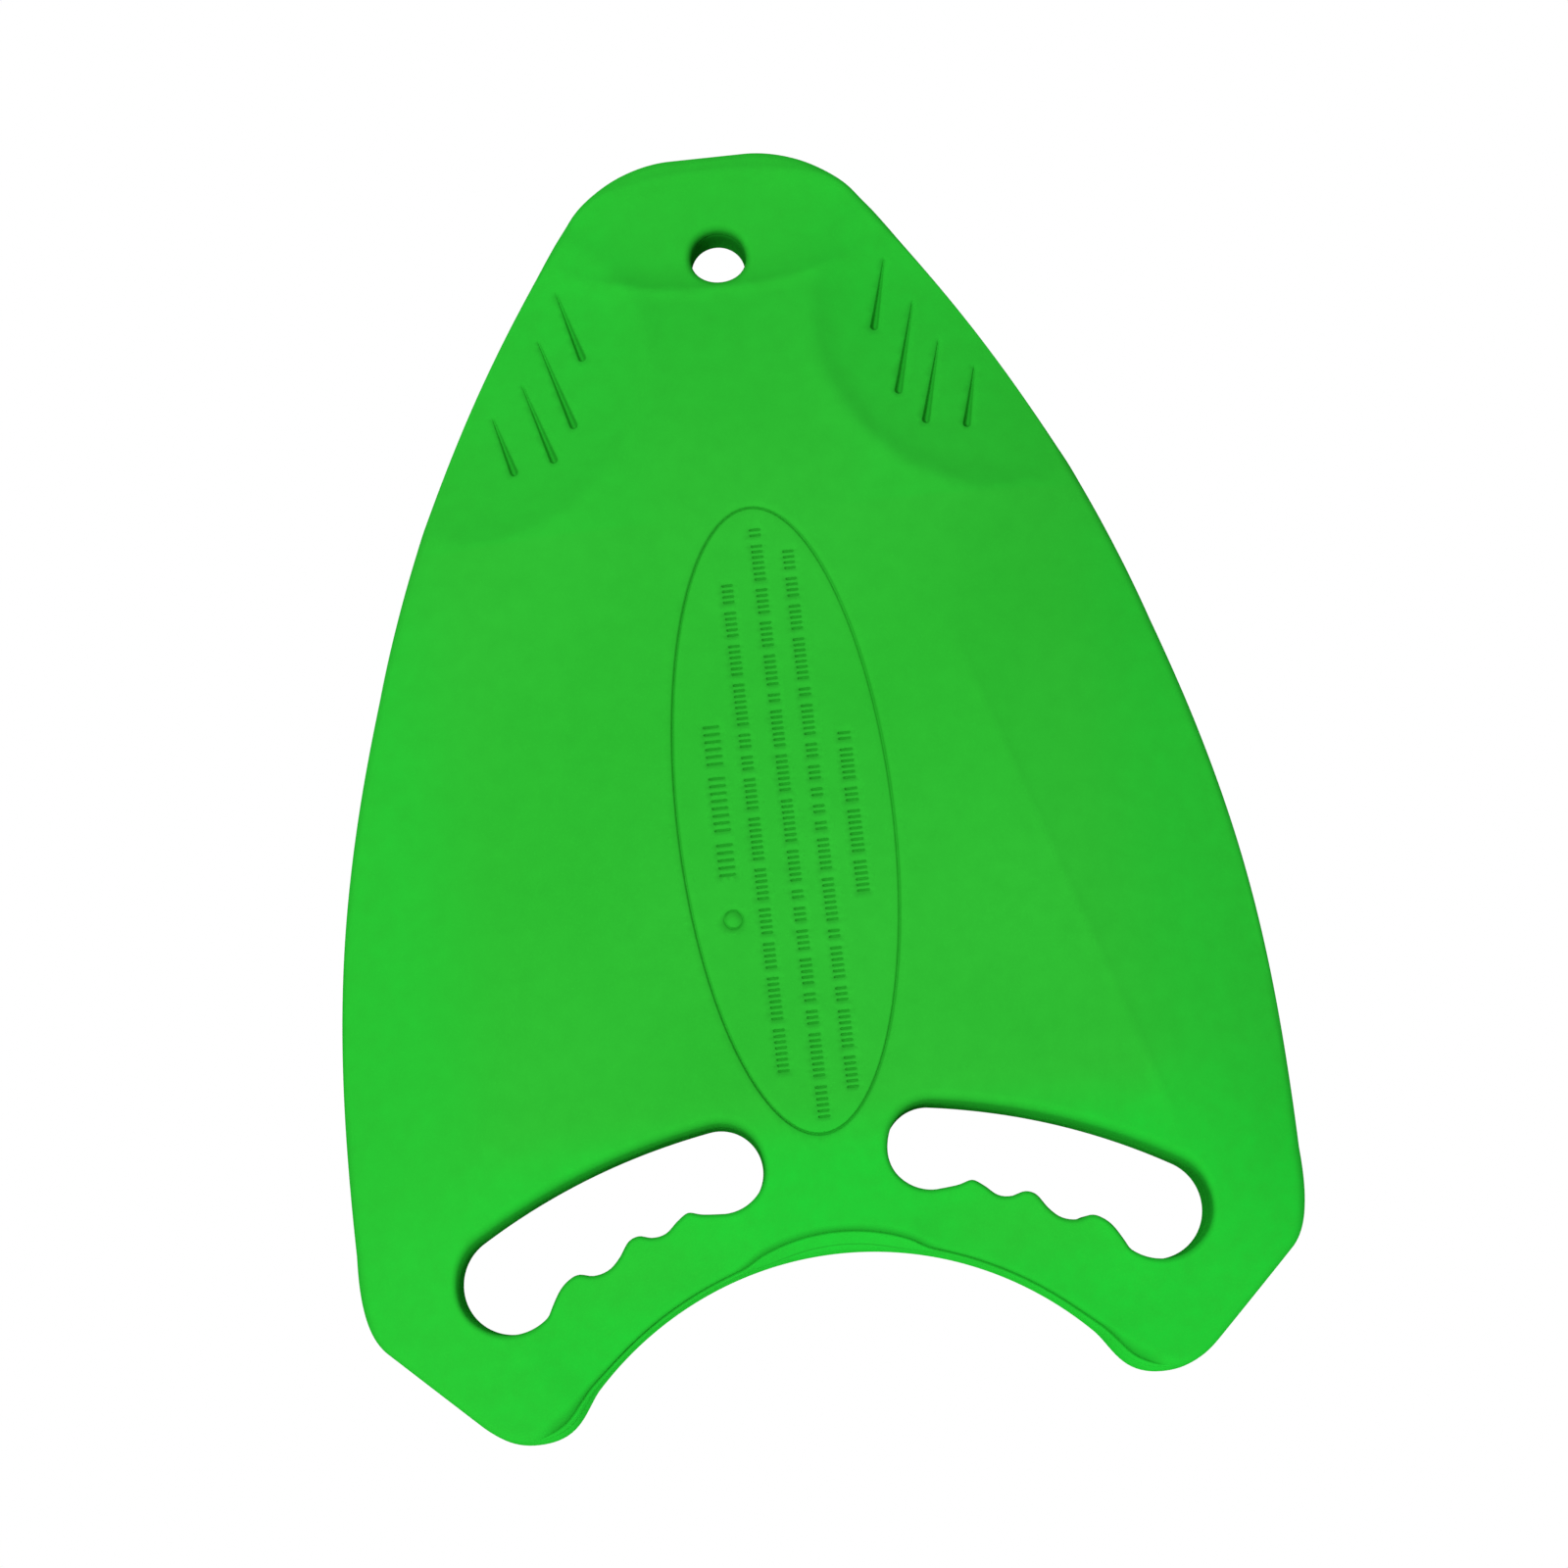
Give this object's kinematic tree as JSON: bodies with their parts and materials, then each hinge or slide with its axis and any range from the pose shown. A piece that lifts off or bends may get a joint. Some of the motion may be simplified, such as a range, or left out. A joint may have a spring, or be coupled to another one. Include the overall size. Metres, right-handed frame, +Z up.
{
  "type": "kickboard float",
  "caption": "Foam swimming kickboard with a tapered nose, grip hollows, two finger-shaped hand slots and a round bay in the tail.",
  "frame": {"origin": "under the middle of the board, on the plane of its flat underside", "axes": "+Y along the board to the nose, +X to the swimmer's right, +Z up out of the deck"},
  "size_m": [0.3088, 0.43, 0.0302],
  "materials": {
    "deck_foam": "satin closed-cell foam skin",
    "base_foam": "satin closed-cell foam skin"
  },
  "bodies": {
    "root": {"deck_half": "deck_foam", "base_half": "base_foam"}
  },
  "joints": []
}
